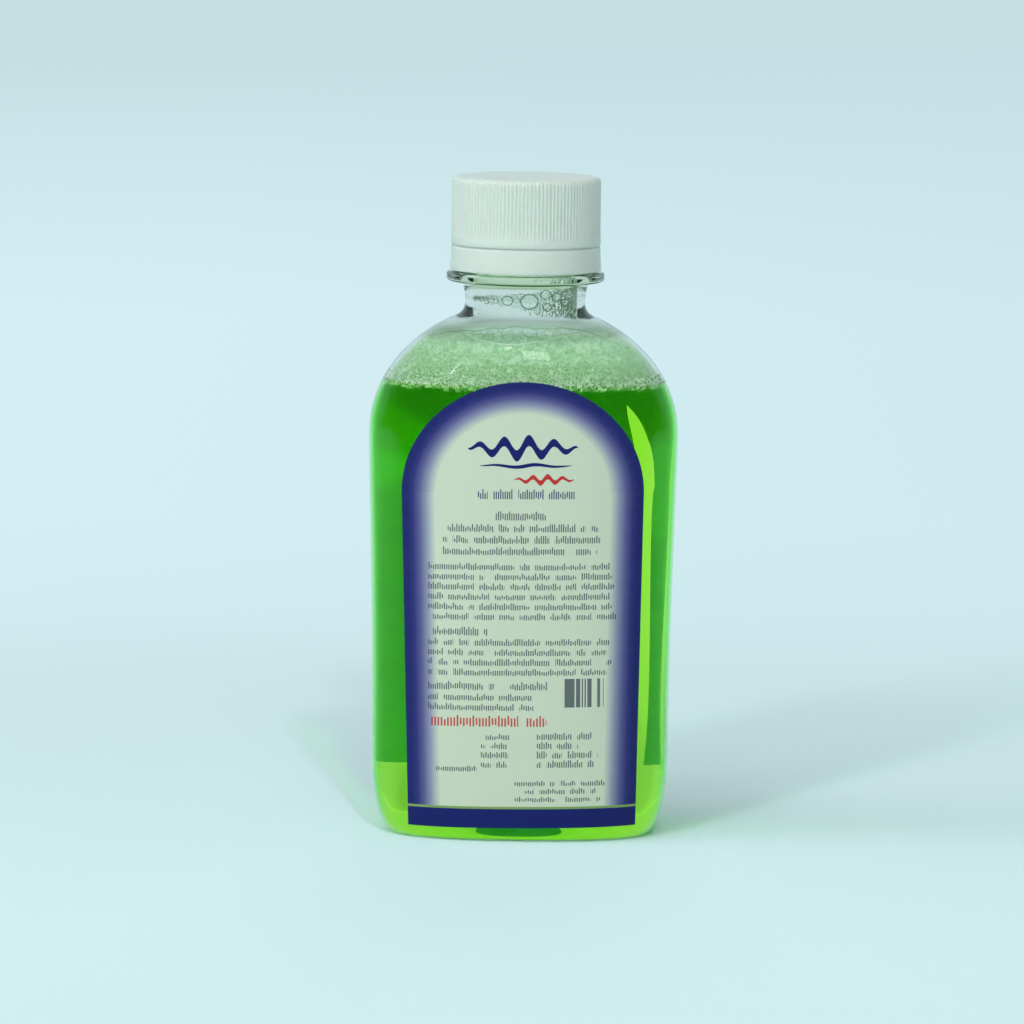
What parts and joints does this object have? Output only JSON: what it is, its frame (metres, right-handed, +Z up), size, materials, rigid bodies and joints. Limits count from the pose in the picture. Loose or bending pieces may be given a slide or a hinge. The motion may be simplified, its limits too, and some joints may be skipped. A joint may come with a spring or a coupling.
{
  "type": "mouthwash bottle",
  "caption": "Small clear oval mouthwash flask with a ribbed white screw cap, tamper band, green liquid inside and a paper label on the front and back; the cap unscrews on its thread.",
  "frame": {"origin": "middle of the base, on the plane that the bottle stands on", "axes": "+Z up along the neck's axis, front panel and label towards -Y, +X to the right seen from the front"},
  "size_m": [0.0648, 0.0364, 0.1379],
  "materials": {
    "clear_pet": "gloss",
    "white_cap": "satin",
    "liner_foam": "matte",
    "label_paper": "satin",
    "green_liquid": "gloss",
    "froth": "gloss"
  },
  "bodies": {
    "bottle": {"bottle": "clear_pet", "front_label": "label_paper", "back_label": "label_paper", "mouthwash": "green_liquid", "foam_layer": "froth", "neck_froth": "froth"},
    "liner": {"cap_liner": "liner_foam"},
    "cap": {"cap_shell": "white_cap"},
    "band": {"tamper_band": "white_cap"}
  },
  "joints": [
    {"name": "cap_lift", "type": "slide", "parent": "bottle", "child": "liner", "axis": [0, 0, 1], "range_m": [0, 0.0159]},
    {"name": "cap_turn", "type": "hinge", "parent": "liner", "child": "cap", "pos_m": [0, 0, 0.13], "axis": [0, 0, 1], "range_deg": [0, 1800]},
    {"name": "band_turn", "type": "hinge", "parent": "bottle", "child": "band", "pos_m": [0, 0, 0.12], "axis": [0, 0, 1], "continuous": true}
  ],
  "couplings": [
    {"joint": "cap_lift", "follows": "cap_turn", "m_per_rad": 0.00050611}
  ]
}
